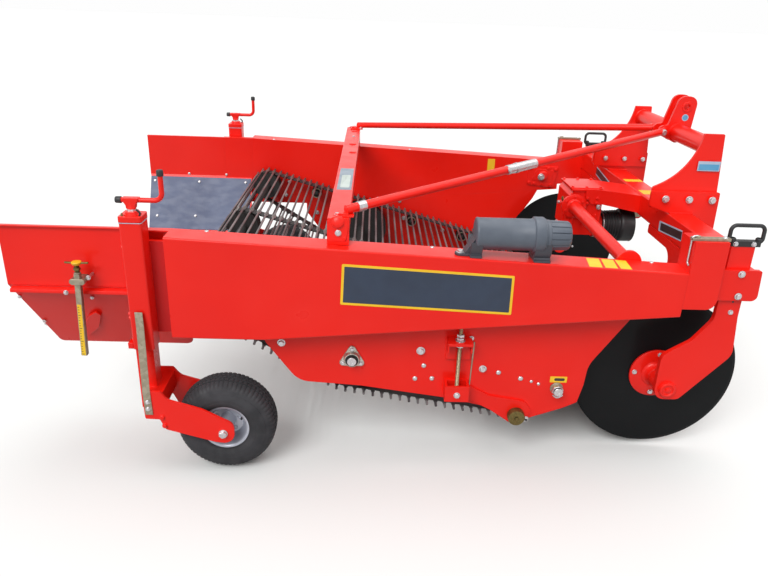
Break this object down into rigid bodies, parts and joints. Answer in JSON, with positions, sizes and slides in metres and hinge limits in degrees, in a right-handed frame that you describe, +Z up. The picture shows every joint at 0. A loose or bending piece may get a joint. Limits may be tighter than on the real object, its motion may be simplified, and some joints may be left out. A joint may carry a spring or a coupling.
{
  "type": "potato harvester",
  "caption": "Tractor-mounted potato digger with sloping rod web between red side beams, share, side discs, rear depth wheels and folded windrow wings.",
  "frame": {"origin": "middle of the machine's length and width, on the floor under the tyres and share", "axes": "+X forward towards the tractor, +Y to the machine's left, +Z up"},
  "size_m": [2.76, 2.064, 1.324],
  "materials": {
    "red_paint": "gloss",
    "steel_rods": "satin",
    "worn_steel": "satin",
    "galvanised": "satin",
    "black_paint": "satin",
    "black_plastic": "matte",
    "grey_plastic": "matte",
    "liner_grey": "matte",
    "rubber": "matte",
    "rim_silver": "satin",
    "black_rubber": "matte",
    "machined_steel": "satin"
  },
  "bodies": {
    "root": {"adjuster_brackets": "red_paint", "crank_grips": "black_plastic", "cross_bar": "red_paint", "crossbeam": "red_paint", "depth_cranks": "red_paint", "document_cap": "grey_plastic", "document_tube": "grey_plastic", "drive_tube": "red_paint", "end_box_left": "red_paint", "end_box_right": "red_paint", "gauge_bar": "galvanised", "gearbox": "red_paint", "hitch_cheek_left": "red_paint", "hitch_cheek_right": "red_paint", "hitch_pins": "galvanised", "knees": "red_paint", "latches": "galvanised", "mast_plate_left": "red_paint", "mast_plate_right": "red_paint", "pto_shield": "black_plastic", "rear_walls": "red_paint", "share": "worn_steel", "share_carrier": "red_paint", "share_ribs": "red_paint", "side_beam_left": "red_paint", "side_beam_right": "red_paint", "side_plate_left": "red_paint", "side_plate_right": "red_paint", "stay_left": "red_paint", "stay_right": "red_paint", "support_rollers": "black_rubber", "tension_arms": "red_paint", "top_link_tube": "red_paint", "tower_left": "red_paint", "tower_right": "red_paint", "web_adjusters": "galvanised", "web_bearings": "red_paint", "web_belts": "black_rubber", "web_rods": "steel_rods", "web_rollers": "worn_steel", "wing_left": "red_paint", "wing_liners": "liner_grey", "wing_right": "red_paint"},
    "leg_right": {"leg_right": "red_paint", "depth_scale_right": "galvanised"},
    "wheel_right": {"rim_right": "rim_silver", "tyre_right": "rubber"},
    "disc_arm_right": {"disc_arm_right": "red_paint", "disc_handle_right": "black_plastic"},
    "disc_right": {"disc_right": "black_paint", "disc_hub_right": "red_paint"},
    "leg_left": {"leg_left": "red_paint", "depth_scale_left": "galvanised"},
    "wheel_left": {"rim_left": "rim_silver", "tyre_left": "rubber"},
    "disc_arm_left": {"disc_arm_left": "red_paint", "disc_handle_left": "black_plastic"},
    "disc_left": {"disc_left": "black_paint", "disc_hub_left": "red_paint"},
    "pto_stub": {"pto_stub": "machined_steel"}
  },
  "joints": [
    {"name": "leg_slide_right", "type": "slide", "parent": "root", "child": "leg_right", "axis": [0, 0, 1], "range_m": [-0.2, 0.12]},
    {"name": "wheel_spin_right", "type": "hinge", "parent": "leg_right", "child": "wheel_right", "pos_m": [-0.606, -0.925, 0.185], "axis": [0, 1, 0], "continuous": true},
    {"name": "disc_arm_slide_right", "type": "slide", "parent": "root", "child": "disc_arm_right", "axis": [0, 0, 1], "range_m": [-0.06, 0.04]},
    {"name": "disc_spin_right", "type": "hinge", "parent": "disc_arm_right", "child": "disc_right", "pos_m": [1.055, -0.77, 0.345], "axis": [0, 1, 0], "continuous": true},
    {"name": "leg_slide_left", "type": "slide", "parent": "root", "child": "leg_left", "axis": [0, 0, 1], "range_m": [-0.2, 0.12]},
    {"name": "wheel_spin_left", "type": "hinge", "parent": "leg_left", "child": "wheel_left", "pos_m": [-0.606, 0.925, 0.185], "axis": [0, 1, 0], "continuous": true},
    {"name": "disc_arm_slide_left", "type": "slide", "parent": "root", "child": "disc_arm_left", "axis": [0, 0, 1], "range_m": [-0.06, 0.04]},
    {"name": "disc_spin_left", "type": "hinge", "parent": "disc_arm_left", "child": "disc_left", "pos_m": [1.055, 0.77, 0.345], "axis": [0, 1, 0], "continuous": true},
    {"name": "pto_spin", "type": "hinge", "parent": "root", "child": "pto_stub", "pos_m": [1.1, 0, 0.715], "axis": [1, 0, 0], "continuous": true}
  ]
}
